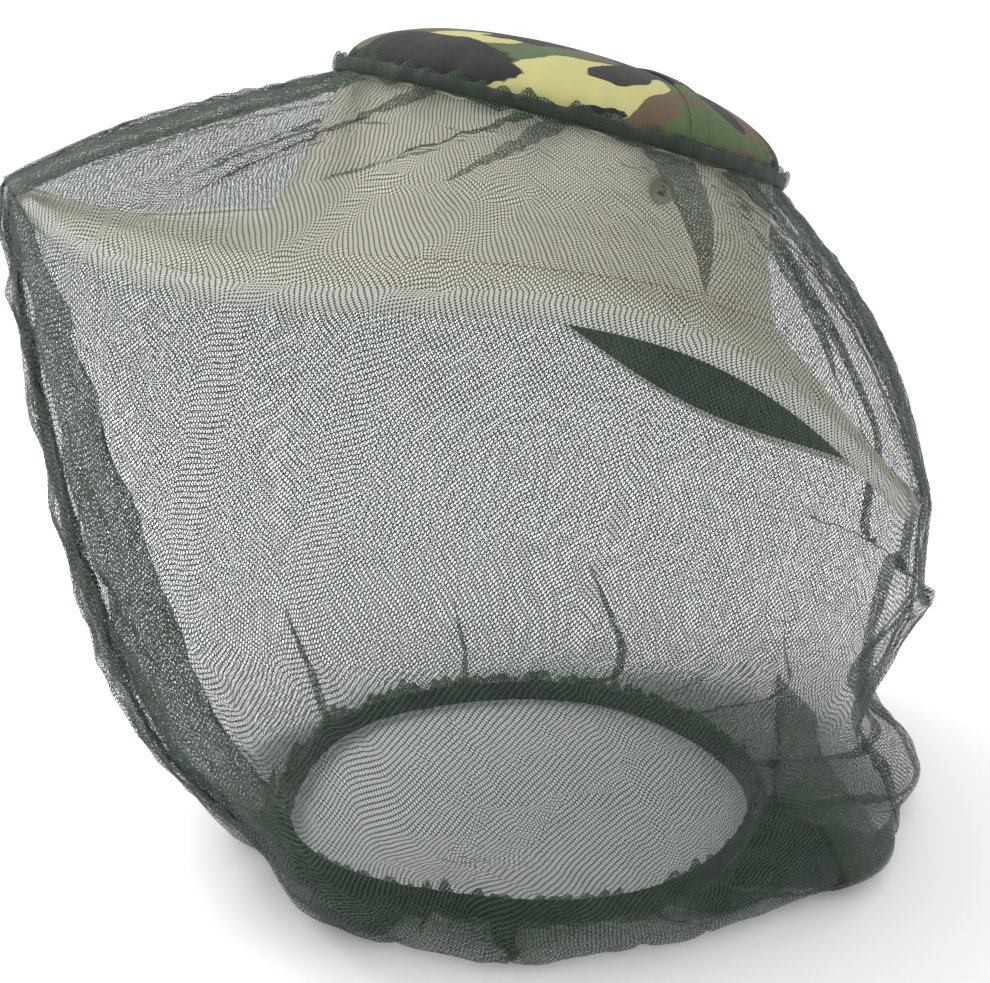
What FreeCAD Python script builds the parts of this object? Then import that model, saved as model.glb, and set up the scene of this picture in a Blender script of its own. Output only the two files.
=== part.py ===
import FreeCAD, Part
import math
import os

# Beekeeping veil worn over a wide-brimmed sun hat. Millimetres, +Z up.
# The wearer faces -Y and the wearer's left is +X. The origin is the centre of the hat's head opening.
# Most pieces are closed bands that run round the head, so each is skinned from rings: closed curves
# with a half length along Y, a half width along X, a centre and a height that may change round them.
# The hat's rings are set out in the hat's own frame, which leans back by hat_pitch.

V = FreeCAD.Vector

# ---- hat -------------------------------------------------------------------------------------
hat_pitch = 15.0            # degrees that the hat leans back, front brim up
crown_half_length = 131.0   # crown cover at its foot
crown_half_width = 100.0
shoulder_half_length = 107.5  # crown cover where the dome starts
shoulder_half_width = 85.0
shoulder_height = 98.0
crown_lean = 4.0            # how far the shoulder lies behind the foot
crown_taper = 0.75          # power that the crown's ends lean in by, 1 is a straight line
dome_rise = 29.5
rim_half_length = 231.0     # brim at the middle of its welt
rim_half_width = 186.0
rim_forward = 4.0           # how far the brim's middle lies in front of the head opening
rim_level = 5.0             # mean height of the edge, and how it dips and rises round the brim
rim_back_droop = 20.7
rim_side_curl = 19.0
rim_corner_dip = 10.5
foot_level = 23.2           # the same for the line where brim and crown meet
foot_back_rise = 11.9
foot_side_curl = 7.8
core_wall = 2.6             # stiff core of crown and brim
cloth_wall = 1.0            # cotton covers and the brim's lining
welt_thickness = 9.0        # rolled binding round the brim's edge
band_height = 24.0          # cloth band round the foot of the crown
sweatband_half_length = 100.0
sweatband_half_width = 80.0
sweatband_height = 34.0
sweatband_wall = 1.8
eyelet_bore = 5.0
eyelet_flange = 12.0
eyelet_height = 74.0        # above the head opening, in the hat's frame
eyelet_angle = 9.0          # degrees behind the widest point of the crown
eyelet_metal = 0.8
eyelet_stand = 0.9          # how far the eyelet's flange stands off the curved cover
washer_stand = 1.4          # the same for the washer, off the core
eyelet_flare = 0.8          # how far the eyelet's tube reaches past the washer

# ---- veil ------------------------------------------------------------------------------------
floor_drop = 268.0          # from the head opening down to the level that the hem rests on
veil_travel = 25.0          # how far the veil lifts straight up off the hat before the net meets the brim
cap_wall = 1.2              # cloth cap over the crown
cap_overlap = 5.0           # how far the cap comes down past the shoulder
cap_seam_back = 36.0        # where its front and rear panels are sewn together
seam_width = 12.0
net_wall = 1.2              # the net's solid, much thicker than the real mesh
casing_height = 10.0        # folded net that holds the crown elastic
casing_drop = 3.0           # how far it comes down past the cap's edge
casing_depth = 6.0
crown_elastic_height = 6.0
crown_elastic_wall = 1.5
hem_half_width = 124.0      # neck elastic, round
hem_back = 6.0              # its centre, behind the head opening
hem_height = 17.0           # folded net that holds the neck elastic
hem_depth = 7.0
neck_elastic_height = 12.0
neck_elastic_wall = 1.8
face_net_foot = 92.0        # height above the floor where the wall of net turns slack
face_middle = 140.0         # height of a ring half way down that wall
face_half_length = 213.0
face_half_width = 188.0
face_back = 3.0
waist_half_length = 202.0
waist_half_width = 186.0
waist_back = 8.0
net_spread_front = 27.6     # how far the net spreads over the floor in front of the hem
net_spread_side = 36.6
net_spread_back = 83.6
bulge_height = 10.0         # height of the widest part of that spread
hem_join = 7.0              # height where the net comes up to the hem
net_top_bow = 9.0           # how far the upper net bows out from a straight line
tape_width = 8.0            # seam down the back of the net
tape_wall = 0.8

# ---- clearances ------------------------------------------------------------------------------
gap = 0.4                   # between pieces of one body
slip = 0.8                  # between pieces that slide apart
STEPS = 32                  # points round each ring
FAR = 400.0                 # further than any piece of the hat reaches
TOOL = 30.0                 # how far a cutting cylinder reaches past a wall


# ---- rings -----------------------------------------------------------------------------------
def rim_height(angle):
    """Height of the brim's edge: the back droops, the sides curl up and the corners dip."""
    droop = -rim_back_droop * math.sin(angle)
    curl = rim_side_curl * math.cos(2 * angle)
    dip = rim_corner_dip * (math.cos(4 * angle) - 1)
    return rim_level + droop + curl + dip


def foot_height(angle):
    """Height of the line where brim and crown meet."""
    return foot_level + foot_back_rise * math.sin(angle) + foot_side_curl * math.cos(2 * angle)


def lean(point):
    """A point of the hat's frame, in the part's frame."""
    pitch = math.radians(hat_pitch)
    y = point.y * math.cos(pitch) + point.z * math.sin(pitch)
    z = point.z * math.cos(pitch) - point.y * math.sin(pitch)
    return V(point.x, y, z)


def closed_curve(points):
    """The smooth closed wire through a ring's points."""
    curve = Part.BSplineCurve()
    curve.interpolate(Points=points, PeriodicFlag=True)
    return Part.Wire(curve.toShape())


def ring(half_length, half_width, centre, height, place=lean):
    """The points of a ring round the head. height is a number or a function of the angle."""
    points = []
    for i in range(STEPS):
        angle = 2 * math.pi * i / STEPS
        z = height(angle) if callable(height) else height
        x = half_width * math.cos(angle)
        y = centre + half_length * math.sin(angle)
        points.append(place(V(x, y, z)))
    return points


def above_floor(point):
    """A point measured up from the floor, in the part's frame."""
    return V(point.x, point.y, point.z - floor_drop)


def level_ring(half_length, half_width, centre, height):
    return ring(half_length, half_width, centre, height, above_floor)


def raised(height, by):
    return lambda angle: height(angle) + by


def dropped(points, by):
    """A ring moved straight down."""
    return [point - V(0, 0, by) for point in points]


# ---- solids from rings -----------------------------------------------------------------------
def skin(rings, smooth=False):
    """The faces through two or more rings, straight from one to the next or smooth through all."""
    return Part.makeLoft([closed_curve(one) for one in rings], False, not smooth).Faces


def sewn(faces):
    """One closed solid from faces that share their edges."""
    shell = Part.Shell(faces)
    shell.sewShape()
    solid = Part.Solid(shell.Shells[0])
    if solid.Volume < 0:
        solid.reverse()
    return solid


def band(rings):
    """A closed band. Its section is the polygon that the rings go round."""
    faces = []
    for i, one in enumerate(rings):
        faces += skin([one, rings[(i + 1) % len(rings)]])
    return sewn(faces)


def wall(outside, inside):
    """A wall of cloth between two skins, open at both ends."""
    faces = skin(outside) + skin(inside)
    faces += skin([outside[0], inside[0]])
    faces += skin([outside[-1], inside[-1]])
    return sewn(faces)


# ---- crown -----------------------------------------------------------------------------------
DOME_TURNS = (0, 16, 32, 48, 62, 74, 84)   # degrees up the dome, the last one closes flat


def side_point(share, angle, inset=0.0, lift=0.0):
    """A point on the crown's side, in the hat's frame, from its foot (share 0) to its shoulder (1)."""
    half_length = crown_half_length + (shoulder_half_length - crown_half_length) * share ** crown_taper
    half_width = crown_half_width + (shoulder_half_width - crown_half_width) * share
    low = foot_height(angle) + lift
    x = (half_width - inset) * math.cos(angle)
    y = crown_lean * share + (half_length - inset) * math.sin(angle)
    return V(x, y, low + (shoulder_height - low) * share)


def side_ring(share, inset, lift=0.0):
    """A ring on the crown's side, moved inwards by inset, with its foot raised by lift."""
    angles = [2 * math.pi * i / STEPS for i in range(STEPS)]
    return [lean(side_point(share, angle, inset, lift)) for angle in angles]


def dome_ring(turn, inset):
    """A ring on the dome, moved inwards by inset."""
    lift = math.sin(math.radians(turn))
    reach = math.cos(math.radians(turn))
    half_length = (shoulder_half_length - inset) * reach
    half_width = (shoulder_half_width - inset) * reach
    return ring(half_length, half_width, crown_lean, shoulder_height + (dome_rise - inset) * lift)


def crown_shell(inset, thickness, foot=0.0):
    """Side and dome of the crown as one shell, open below. foot is where its side starts."""
    faces = []
    for depth in (inset, inset + thickness):
        side = [side_ring(foot + (1 - foot) * part, depth) for part in (0.0, 0.25, 0.5, 0.75, 1.0)]
        dome = [dome_ring(turn, depth) for turn in DOME_TURNS]
        faces += skin(side, True) + skin(dome, True)
        faces.append(Part.Face(closed_curve(dome[-1])))
    faces += skin([side_ring(foot, inset), side_ring(foot, inset + thickness)])
    return sewn(faces)


def eyelet_axis(side):
    """Where a vent's axis meets the crown cover, and the way out along it."""
    angle = math.radians(eyelet_angle if side > 0 else 180 - eyelet_angle)
    low = foot_height(angle)
    share = (eyelet_height - low) / (shoulder_height - low)
    point = side_point(share, angle)
    round_it = side_point(share, angle + 0.01) - point
    up_it = side_point(share + 0.01, angle) - point
    facing = round_it.cross(up_it)
    facing.normalize()
    return point, facing


def vent_tube(side, radius, start, end):
    """A cylinder along a vent's axis, from start to end outside the crown cover."""
    point, facing = eyelet_axis(side)
    base = lean(point + facing * start)
    return Part.makeCylinder(radius, end - start, base, lean(facing))


eyelet_depth = cloth_wall + core_wall + 2 * gap   # from the cover's outside to the core's inside


def with_vents(shape):
    radius = eyelet_bore / 2 + eyelet_metal + gap
    for side in (1, -1):
        shape = shape.cut(vent_tube(side, radius, -TOOL, TOOL))
    return shape


def crown_cover():
    return with_vents(crown_shell(0.0, cloth_wall))


def crown_core():
    return with_vents(crown_shell(cloth_wall + gap, core_wall))


def vent_eyelet(side):
    """A flanged metal tube through cover and core, with its flange outside."""
    top = eyelet_stand + eyelet_metal
    foot = -eyelet_depth - washer_stand - eyelet_metal - eyelet_flare
    tube = vent_tube(side, eyelet_bore / 2 + eyelet_metal, foot, top)
    flange = vent_tube(side, eyelet_flange / 2, eyelet_stand, top)
    return tube.fuse(flange).removeSplitter().cut(vent_tube(side, eyelet_bore / 2, -TOOL, TOOL))


def vent_washer(side):
    """The ring behind the eyelet, inside the crown."""
    face = -eyelet_depth - washer_stand
    outer = vent_tube(side, eyelet_flange / 2, face - eyelet_metal, face)
    return outer.cut(vent_tube(side, eyelet_bore / 2 + eyelet_metal + gap / 2, -TOOL, TOOL))


def crown_band():
    """The cloth band stitched round the foot of the crown."""
    share = band_height / (shoulder_height - foot_level)
    parts = (0.0, 0.5, 1.0)
    outside = [side_ring(share * part, -cloth_wall - gap, gap) for part in parts]
    inside = [side_ring(share * part, -gap, gap) for part in parts]
    return wall(outside, inside)


# ---- brim ------------------------------------------------------------------------------------
def brim_ring(share, lift, outset=0.0):
    """A ring on the brim, from the crown's foot (share 0) to the middle of the welt (share 1)."""
    half_length = crown_half_length + (rim_half_length - crown_half_length) * share
    half_width = crown_half_width + (rim_half_width - crown_half_width) * share

    def height(angle):
        low = foot_height(angle)
        return low + (rim_height(angle) - low) * share + lift

    return ring(half_length + outset, half_width + outset, -rim_forward * share, height)


# The brim's layers hang below the crown's foot, cover on top, and are open inside the crown's core.
cover_top = -gap
core_top = cover_top - cloth_wall - gap
lining_top = core_top - core_wall - gap
lining_bottom = lining_top - cloth_wall
brim_middle = (cover_top + lining_bottom) / 2


def opening_ring(lift):
    """The brim's inner edge, which the sweatband is sewn to."""
    outset = sweatband_wall + gap
    half_length = sweatband_half_length + outset
    return ring(half_length, sweatband_half_width + outset, 0.0, raised(foot_height, lift))


def brim_layer(top, thickness):
    """One layer of the brim, from the head opening to inside the welt."""
    low = top - thickness
    upper = [opening_ring(top), brim_ring(0.0, top), brim_ring(1.0, top)]
    lower = [brim_ring(1.0, low), brim_ring(0.0, low), opening_ring(low)]
    return band(upper + lower)


def brim_welt():
    """The rolled binding round the brim's edge, with a slot for the brim's layers."""
    radius = welt_thickness / 2
    half_slot = cover_top - brim_middle + gap
    lip = 176 - math.degrees(math.asin(half_slot / radius))   # degrees round to the slot's lips
    section = [(gap, half_slot), (radius * math.cos(math.radians(lip)), half_slot)]
    for part in (0.7, 0.4, 0.13, -0.13, -0.4, -0.7):
        turn = math.radians(lip * part)
        section.append((radius * math.cos(turn), radius * math.sin(turn)))
    section += [(radius * math.cos(math.radians(lip)), -half_slot), (gap, -half_slot)]
    reach = rim_half_length - crown_half_length
    return band([brim_ring(1.0 + out / reach, brim_middle + up) for out, up in section])


def sweatband():
    """The band that grips the head, inside the foot of the crown."""
    low = raised(foot_height, lining_bottom)
    high = raised(foot_height, lining_bottom + sweatband_height)
    rings = []
    for outset, height in ((sweatband_wall, low), (sweatband_wall, high), (0.0, high), (0.0, low)):
        half_length = sweatband_half_length + outset
        half_width = sweatband_half_width + outset
        rings.append(ring(half_length, half_width, 0.0, height))
    return band(rings)


# ---- cap and crown elastic -------------------------------------------------------------------
cap_foot = (shoulder_height - cap_overlap - foot_level) / (shoulder_height - foot_level)


def slab(back, front):
    """Everything in the hat's frame from front to back along Y."""
    box = Part.makeBox(2 * FAR, back - front, 2 * FAR, V(-FAR, front, -FAR))
    box.rotate(V(0, 0, 0), V(1, 0, 0), -hat_pitch)
    return box


def cap_shell(lift, thickness):
    return crown_shell(-lift - thickness, thickness, cap_foot)


def cap_front_panel():
    return cap_shell(slip, cap_wall).common(slab(cap_seam_back - gap / 2, -FAR))


def cap_rear_panel():
    return cap_shell(slip, cap_wall).common(slab(FAR, cap_seam_back + gap / 2))


def cap_seam():
    """The turned-over seam between the cap's panels, on the outside."""
    strip = slab(cap_seam_back + seam_width / 2, cap_seam_back - seam_width / 2)
    return cap_shell(slip + cap_wall + gap, tape_wall).common(strip)


casing_foot = shoulder_height - cap_overlap - casing_drop
casing_outset = slip + cap_wall + tape_wall + 3 * gap   # clear of the cap's seam as well


def casing_ring(out, up):
    """A ring beside the cap's lower edge, out from the cap and up from its edge."""
    eased = cap_foot ** crown_taper
    half_length = crown_half_length + (shoulder_half_length - crown_half_length) * eased
    half_width = crown_half_width + (shoulder_half_width - crown_half_width) * cap_foot
    outset = out + casing_outset
    return ring(half_length + outset, half_width + outset, crown_lean * cap_foot, casing_foot + up)


def crown_casing():
    """Gathered net folded over the crown elastic, open below."""
    far = casing_depth
    top = casing_height
    section = [(far, 0), (far, top), (0, top), (0, 0)]
    section += [(net_wall, 0), (net_wall, top - net_wall), (far - net_wall, top - net_wall), (far - net_wall, 0)]
    return band([casing_ring(out, up) for out, up in section])


def crown_elastic():
    near = casing_depth / 2 - crown_elastic_wall / 2
    far = near + crown_elastic_wall
    low = (casing_height - net_wall - crown_elastic_height) / 2
    high = low + crown_elastic_height
    section = [(far, low), (far, high), (near, high), (near, low)]
    return band([casing_ring(out, up) for out, up in section])


# ---- net -------------------------------------------------------------------------------------
rim_turn = brim_middle + welt_thickness * 0.6          # where the net turns down over the edge
rim_lean = (rim_turn - brim_middle) * math.tan(math.radians(hat_pitch))   # how far that leans in at the front
rim_clear = welt_thickness / 2 + 2 * slip + net_wall + rim_lean   # from the welt's middle to the net's outside
rim_wrap = rim_turn - brim_middle + veil_travel + 2 * slip        # how far the net hangs straight down there


def upper_net_rings(outset):
    """From the crown casing down and out to the top of the brim's edge."""
    top = casing_ring(casing_depth - 2 * net_wall + outset, -gap)
    edge = brim_ring(1.0, rim_turn, rim_clear + outset)

    def bowed(angle):
        return (casing_foot + rim_height(angle)) / 2 + net_top_bow

    half_length = (shoulder_half_length + rim_half_length) / 2 + outset
    half_width = (shoulder_half_width + rim_half_width) / 2 + outset
    middle = ring(half_length + net_top_bow, half_width + net_top_bow, 0.0, bowed)
    return [top, middle, edge]


def upper_net():
    return wall(upper_net_rings(0.0), upper_net_rings(-net_wall))


def face_net_rings(outset):
    """From the top of the brim's edge down to where the net turns slack."""
    top = rim_turn - gap
    reach = rim_clear + outset
    return [
        brim_ring(1.0, top, reach),
        dropped(brim_ring(1.0, top, reach), rim_wrap),
        level_ring(face_half_length + outset, face_half_width + outset, face_back, face_middle),
        level_ring(waist_half_length + outset, waist_half_width + outset, waist_back, face_net_foot),
    ]


def face_net():
    return wall(face_net_rings(0.0), face_net_rings(-net_wall))


hem_edge = hem_half_width + hem_depth + gap
bulge_half_length = hem_edge + (net_spread_front + net_spread_back) / 2
bulge_half_width = hem_edge + net_spread_side
bulge_back = hem_back + (net_spread_back - net_spread_front) / 2


def neck_net_rings(out, up):
    """From the slack wall out over the floor and back in to the hem."""
    hem_reach = hem_edge - min(out, 0)
    return [
        level_ring(waist_half_length + out, waist_half_width + out, waist_back, face_net_foot - gap),
        level_ring((waist_half_length + bulge_half_length) / 2 + out,
                   (waist_half_width + bulge_half_width) / 2 + out,
                   (waist_back + bulge_back) / 2, face_net_foot / 2 - gap),
        level_ring(bulge_half_length + out, bulge_half_width + out, bulge_back, bulge_height + up / 2),
        level_ring((bulge_half_length + hem_half_width) / 2, (bulge_half_width + hem_half_width) / 2,
                   (bulge_back + hem_back) / 2, net_wall + up),
        level_ring(hem_reach, hem_reach, hem_back, hem_join + up),
    ]


def neck_net():
    return wall(neck_net_rings(0.0, 0.0), neck_net_rings(-net_wall, net_wall))


def back_tape(outside, inside):
    """A flat strip of seam down the middle of the back, between two outlines."""
    back = STEPS // 4
    outline = [one[back] for one in outside] + [one[back] for one in reversed(inside)]
    outline.append(outline[0])
    face = Part.Face(Part.makePolygon([point - V(tape_width / 2, 0, 0) for point in outline]))
    return face.extrude(V(tape_width, 0, 0))


def seam(rings):
    return back_tape(rings(gap + tape_wall), rings(gap))


# ---- hem -------------------------------------------------------------------------------------
def hem_ring(out, up):
    return level_ring(hem_half_width + out, hem_half_width + out, hem_back, up)


def hem_casing():
    """Gathered net folded up round the neck elastic, open above."""
    far = hem_depth
    top = hem_height
    section = [(0, 0), (far, 0), (far, top), (far - net_wall, top), (far - net_wall, net_wall)]
    section += [(net_wall, net_wall), (net_wall, top), (0, top)]
    return band([hem_ring(out, up) for out, up in section])


def neck_elastic():
    near = (hem_depth - neck_elastic_wall) / 2
    far = near + neck_elastic_wall
    low = net_wall + gap
    high = low + neck_elastic_height
    return band([hem_ring(out, up) for out, up in ((near, low), (far, low), (far, high), (near, high))])


# ---- output ----------------------------------------------------------------------------------
def pieces():
    yield "crown_cover", crown_cover()
    yield "crown_core", crown_core()
    yield "crown_band", crown_band()
    yield "brim_cover", brim_layer(cover_top, cloth_wall)
    yield "brim_core", brim_layer(core_top, core_wall)
    yield "brim_lining", brim_layer(lining_top, cloth_wall)
    yield "brim_welt", brim_welt()
    yield "sweatband", sweatband()
    for name, side in (("left", 1), ("right", -1)):
        yield "vent_eyelet_" + name, vent_eyelet(side)
        yield "vent_washer_" + name, vent_washer(side)
    yield "cap_front_panel", cap_front_panel()
    yield "cap_rear_panel", cap_rear_panel()
    yield "cap_seam", cap_seam()
    yield "crown_casing", crown_casing()
    yield "crown_elastic", crown_elastic()
    yield "upper_net", upper_net()
    yield "upper_net_seam", seam(upper_net_rings)
    yield "face_net", face_net()
    yield "face_net_seam", seam(face_net_rings)
    yield "neck_net", neck_net()
    yield "hem_casing", hem_casing()
    yield "neck_elastic", neck_elastic()


os.makedirs("parts", exist_ok=True)
for name, shape in pieces():
    shape.exportStep("parts/" + name + ".step")
    print(name, len(shape.Solids), shape.isValid(), round(shape.Volume / 1000, 2), "cm3")
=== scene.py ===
import math

import bpy
import numpy as np
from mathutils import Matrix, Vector


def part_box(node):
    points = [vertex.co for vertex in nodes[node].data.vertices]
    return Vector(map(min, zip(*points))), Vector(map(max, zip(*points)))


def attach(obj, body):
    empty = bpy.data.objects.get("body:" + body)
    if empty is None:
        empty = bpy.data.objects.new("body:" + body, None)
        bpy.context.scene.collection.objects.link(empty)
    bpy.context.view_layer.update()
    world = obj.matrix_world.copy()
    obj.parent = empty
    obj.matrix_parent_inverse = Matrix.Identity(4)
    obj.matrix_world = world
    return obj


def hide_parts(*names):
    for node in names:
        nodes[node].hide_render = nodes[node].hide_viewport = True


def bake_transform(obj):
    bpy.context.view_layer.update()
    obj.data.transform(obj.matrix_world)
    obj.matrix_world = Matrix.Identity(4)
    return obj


# Beekeeping veil over a sun hat. Metres, +Z up, the wearer faces -Y and the wearer's left is +X.
# The origin is the centre of the hat's head opening. Angles run round the head from the wearer's
# left towards the back. A "curve" here is an array of points round the head, one for each angle.

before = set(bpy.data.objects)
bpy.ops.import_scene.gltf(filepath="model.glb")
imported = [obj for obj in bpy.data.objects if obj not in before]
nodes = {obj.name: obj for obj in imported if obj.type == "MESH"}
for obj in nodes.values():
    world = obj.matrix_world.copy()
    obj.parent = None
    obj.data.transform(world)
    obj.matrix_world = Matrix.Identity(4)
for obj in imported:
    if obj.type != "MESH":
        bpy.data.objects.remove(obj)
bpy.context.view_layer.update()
floor_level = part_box("hem_casing")[0].z

# ---- the hat's and the veil's own lines --------------------------------------------------------
HAT_PITCH = math.radians(15)
CROWN_HALF = (0.131, 0.100)          # half length and half width at the foot
SHOULDER_HALF = (0.1075, 0.085)      # where the dome starts
SHOULDER_HEIGHT = 0.098
CROWN_LEAN = 0.004
CROWN_TAPER = 0.75
DOME_RISE = 0.0295
RIM_HALF = (0.231, 0.186)            # middle of the welt
RIM_FORWARD = 0.004
CAP_FOOT = 0.933                     # share of the crown's side where the cap ends
CASING_FOOT = 0.090                  # height of the crown casing's lower edge
CASING_OUTSET = 0.004
HEM_HALF = 0.124
HEM_BACK = 0.006


def lean(x, y, z):
    """Points of the hat's own frame, which leans back, in the part's frame."""
    c, s = math.cos(HAT_PITCH), math.sin(HAT_PITCH)
    return np.stack([x, y * c + z * s, z * c - y * s], -1)


def rim_height(angle):
    return 0.005 - 0.0207 * np.sin(angle) + 0.019 * np.cos(2 * angle) + 0.0105 * (np.cos(4 * angle) - 1)


def foot_height(angle):
    return 0.0232 + 0.0119 * np.sin(angle) + 0.0078 * np.cos(2 * angle)


def crown_curve(angle, share, outset=0.0):
    """Round the crown's side, from its foot (share 0) to its shoulder (1)."""
    half_length = CROWN_HALF[0] + (SHOULDER_HALF[0] - CROWN_HALF[0]) * share ** CROWN_TAPER + outset
    half_width = CROWN_HALF[1] + (SHOULDER_HALF[1] - CROWN_HALF[1]) * share + outset
    low = foot_height(angle)
    height = low + (SHOULDER_HEIGHT - low) * share
    return lean(half_width * np.cos(angle), half_length * np.sin(angle) + CROWN_LEAN * share, height)


def dome_curve(angle, turn, outset=0.0):
    """Round the dome, turn radians up from its shoulder."""
    reach, lift = math.cos(turn), math.sin(turn)
    half_length = (SHOULDER_HALF[0] + outset) * reach
    half_width = (SHOULDER_HALF[1] + outset) * reach
    height = np.full_like(angle, SHOULDER_HEIGHT + (DOME_RISE + outset) * lift)
    return lean(half_width * np.cos(angle), half_length * np.sin(angle) + CROWN_LEAN, height)


def brim_curve(angle, share, lift=0.0, outset=0.0):
    """Round the brim, from the crown's foot (share 0) to the middle of the welt (1)."""
    half_length = CROWN_HALF[0] + (RIM_HALF[0] - CROWN_HALF[0]) * share + outset
    half_width = CROWN_HALF[1] + (RIM_HALF[1] - CROWN_HALF[1]) * share + outset
    low = foot_height(angle)
    height = low + (rim_height(angle) - low) * share + lift
    return lean(half_width * np.cos(angle), half_length * np.sin(angle) - RIM_FORWARD * share, height)


def casing_curve(angle, out, up):
    """Beside the cap's edge, out from the cap and up from the foot of the crown casing."""
    half_length = CROWN_HALF[0] + (SHOULDER_HALF[0] - CROWN_HALF[0]) * CAP_FOOT ** CROWN_TAPER
    half_width = CROWN_HALF[1] + (SHOULDER_HALF[1] - CROWN_HALF[1]) * CAP_FOOT
    out = out + CASING_OUTSET
    x = (half_width + out) * np.cos(angle)
    y = (half_length + out) * np.sin(angle) + CROWN_LEAN * CAP_FOOT
    return lean(x, y, CASING_FOOT + up + 0 * angle)


def level_curve(angle, half_length, half_width, back, height):
    """A level curve, measured up from the floor."""
    return np.stack([half_width * np.cos(angle), half_length * np.sin(angle) + back,
                     floor_level + height + 0 * angle], -1)


# ---- meshes ------------------------------------------------------------------------------------
def mesh_piece(name, points, faces, uv=None):
    """A smooth-shaded piece. uv holds one pair for each corner of each face."""
    mesh = bpy.data.meshes.new(name)
    mesh.from_pydata([tuple(p) for p in points], [], faces)
    if uv is not None:
        layer = mesh.uv_layers.new(name="cloth")
        layer.data.foreach_set("uv", np.asarray(uv, np.float32).ravel())
    mesh.polygons.foreach_set("use_smooth", [True] * len(mesh.polygons))
    mesh.update()
    piece = bpy.data.objects.new(name, mesh)
    bpy.context.scene.collection.objects.link(piece)
    return piece


def grid_faces(rows, columns, closed, closed_rows=False):
    """Corner indices of a grid's faces, each as (row, column) pairs that may run one past the end."""
    faces = []
    for r in range(rows if closed_rows else rows - 1):
        for c in range(columns if closed else columns - 1):
            faces.append(((r, c), (r + 1, c), (r + 1, c + 1), (r, c + 1)))
    return faces


def grid_piece(name, grid, across=None, along=None, closed=True, closed_rows=False):
    """A piece from rows of points. across and along give the cloth's own coordinates in metres:
    across has one value more than the grid has columns, along has one for each row or each point."""
    rows, columns = grid.shape[:2]
    corners = grid_faces(rows, columns, closed, closed_rows)
    faces = [[(r % rows) * columns + c % columns for r, c in face] for face in corners]
    uv = None
    if across is not None:
        uv = []
        for r, c in (corner for face in corners for corner in face):
            uv.append((across[c], along[r, c % columns] if along.ndim == 2 else along[r]))
    return mesh_piece(name, grid.reshape(-1, 3), faces, uv)


def normals_of(grid):
    """Unit normals of a closed grid, pointing away from the head where the rows run downwards."""
    round_it = np.roll(grid, -1, 1) - np.roll(grid, 1, 1)
    down_it = np.gradient(grid, axis=0)
    normal = np.cross(down_it, round_it)
    return normal / np.maximum(np.linalg.norm(normal, axis=2, keepdims=True), 1e-9)


def unit(vectors):
    return vectors / np.linalg.norm(vectors, axis=-1, keepdims=True)


def steps_down(grid):
    """The length of cloth above each point of a grid, down its columns."""
    steps = np.linalg.norm(np.diff(grid, axis=0), axis=2)
    return np.concatenate([np.zeros((1, grid.shape[1])), np.cumsum(steps, axis=0)])


def points_of(piece, rows, columns):
    """A grid piece's points, as rows."""
    flat = np.zeros(len(piece.data.vertices) * 3, np.float32)
    piece.data.vertices.foreach_get("co", flat)
    return flat.reshape(rows, columns, 3).astype(float)


def lengths_round(curve):
    """Distance along a closed curve to each of its points, with the whole length last."""
    steps = np.linalg.norm(np.roll(curve, -1, 0) - curve, axis=1)
    return np.concatenate([[0], np.cumsum(steps)])


def ripple(seed, count, angle, low, high):
    """A smooth irregular wave round the head, about -1 to 1, of waves from low to high per turn."""
    rng = np.random.default_rng(seed)
    wave = np.zeros_like(angle)
    for _ in range(count):
        wave = wave + np.cos(rng.integers(low, high + 1) * angle + rng.uniform(0, 2 * math.pi))
    return wave / math.sqrt(count / 2) / 1.6


# ---- materials ---------------------------------------------------------------------------------
class Value:
    """A value that changes over a surface, written like a number."""

    def __init__(self, finish, socket):
        self.finish = finish
        self.socket = socket

    def __add__(self, other):
        return self.finish.math("ADD", self, other)

    def __sub__(self, other):
        return self.finish.math("SUBTRACT", self, other)

    def __rsub__(self, other):
        return self.finish.math("SUBTRACT", other, self)

    def __mul__(self, other):
        return self.finish.math("MULTIPLY", self, other)

    def __truediv__(self, other):
        return self.finish.math("DIVIDE", self, other)

    def __abs__(self):
        return self.finish.math("ABSOLUTE", self)

    __radd__ = __add__
    __rmul__ = __mul__


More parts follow.
